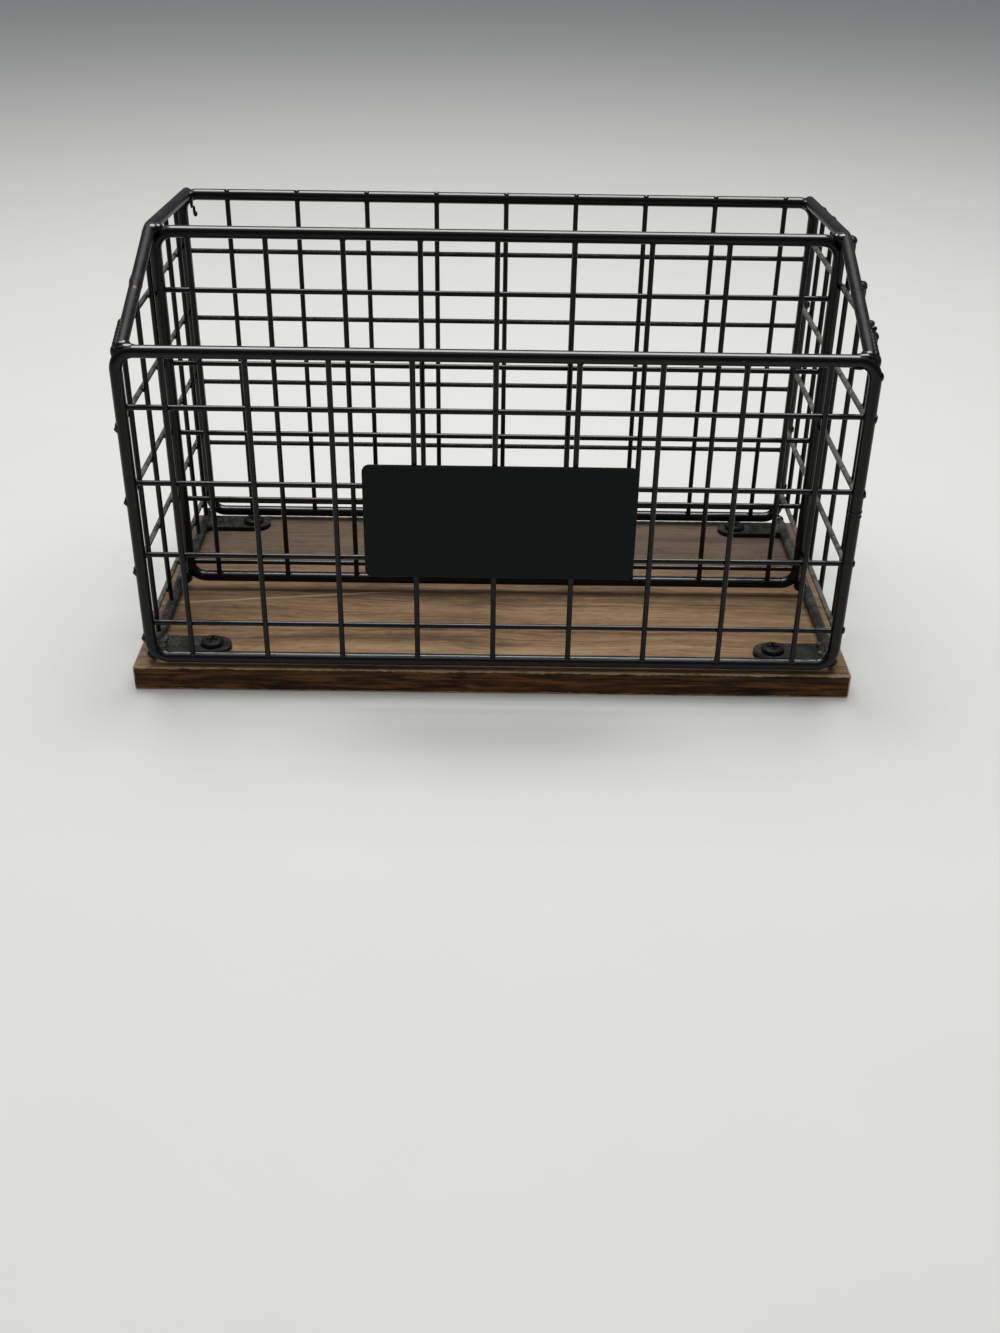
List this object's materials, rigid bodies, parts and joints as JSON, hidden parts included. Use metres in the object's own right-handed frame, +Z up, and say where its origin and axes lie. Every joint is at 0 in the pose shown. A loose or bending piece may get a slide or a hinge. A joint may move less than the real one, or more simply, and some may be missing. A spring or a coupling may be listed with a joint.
{
  "type": "letter rack",
  "caption": "Desktop letter rack: open black wire basket with a wire divider, sloping sides and a blank front plaque, screwed to a stained wooden board.",
  "frame": {"origin": "middle of the board's underside", "axes": "+X along the rack to the viewer's right, +Y from the front grid to the back grid, +Z up"},
  "size_m": [0.275, 0.1369, 0.1615],
  "materials": {
    "board": "walnut-stained, worn at the edges",
    "frame_wire": "semi-gloss black enamel",
    "grid_wire": "semi-gloss black enamel",
    "tab": "dusty black enamel",
    "screw": "black oxide",
    "plaque": "matte black paint"
  },
  "bodies": {
    "root": {"back_cross_wire_1": "grid_wire", "back_cross_wire_2": "grid_wire", "back_cross_wire_3": "grid_wire", "back_cross_wire_4": "grid_wire", "back_cross_wire_5": "grid_wire", "back_frame": "frame_wire", "back_left_tab": "tab", "back_right_tab": "tab", "back_uprights": "grid_wire", "base_board": "board", "divider_cross_wire_1": "grid_wire", "divider_cross_wire_2": "grid_wire", "divider_cross_wire_3": "grid_wire", "divider_cross_wire_4": "grid_wire", "divider_cross_wire_5": "grid_wire", "divider_frame": "frame_wire", "divider_uprights": "grid_wire", "front_cross_wire_1": "grid_wire", "front_cross_wire_2": "grid_wire", "front_cross_wire_3": "grid_wire", "front_cross_wire_4": "grid_wire", "front_frame": "frame_wire", "front_left_tab": "tab", "front_right_tab": "tab", "front_upright_1": "grid_wire", "front_upright_2": "grid_wire", "front_upright_3": "grid_wire", "front_upright_4": "grid_wire", "front_upright_5": "grid_wire", "front_upright_6": "grid_wire", "front_upright_7": "grid_wire", "front_upright_8": "grid_wire", "front_upright_9": "grid_wire", "left_bottom_rail": "frame_wire", "left_cross_wire_1": "grid_wire", "left_cross_wire_2": "grid_wire", "left_cross_wire_3": "grid_wire", "left_cross_wire_4": "grid_wire", "left_cross_wire_5": "grid_wire", "left_top_rail": "frame_wire", "left_upright_1": "grid_wire", "left_upright_2": "grid_wire", "left_upright_3": "grid_wire", "left_upright_4": "grid_wire", "left_upright_5": "grid_wire", "plaque": "plaque", "right_bottom_rail": "frame_wire", "right_cross_wire_1": "grid_wire", "right_cross_wire_2": "grid_wire", "right_cross_wire_3": "grid_wire", "right_cross_wire_4": "grid_wire", "right_cross_wire_5": "grid_wire", "right_top_rail": "frame_wire", "right_upright_1": "grid_wire", "right_upright_2": "grid_wire", "right_upright_3": "grid_wire", "right_upright_4": "grid_wire", "right_upright_5": "grid_wire", "tab_screws": "screw"}
  },
  "joints": []
}
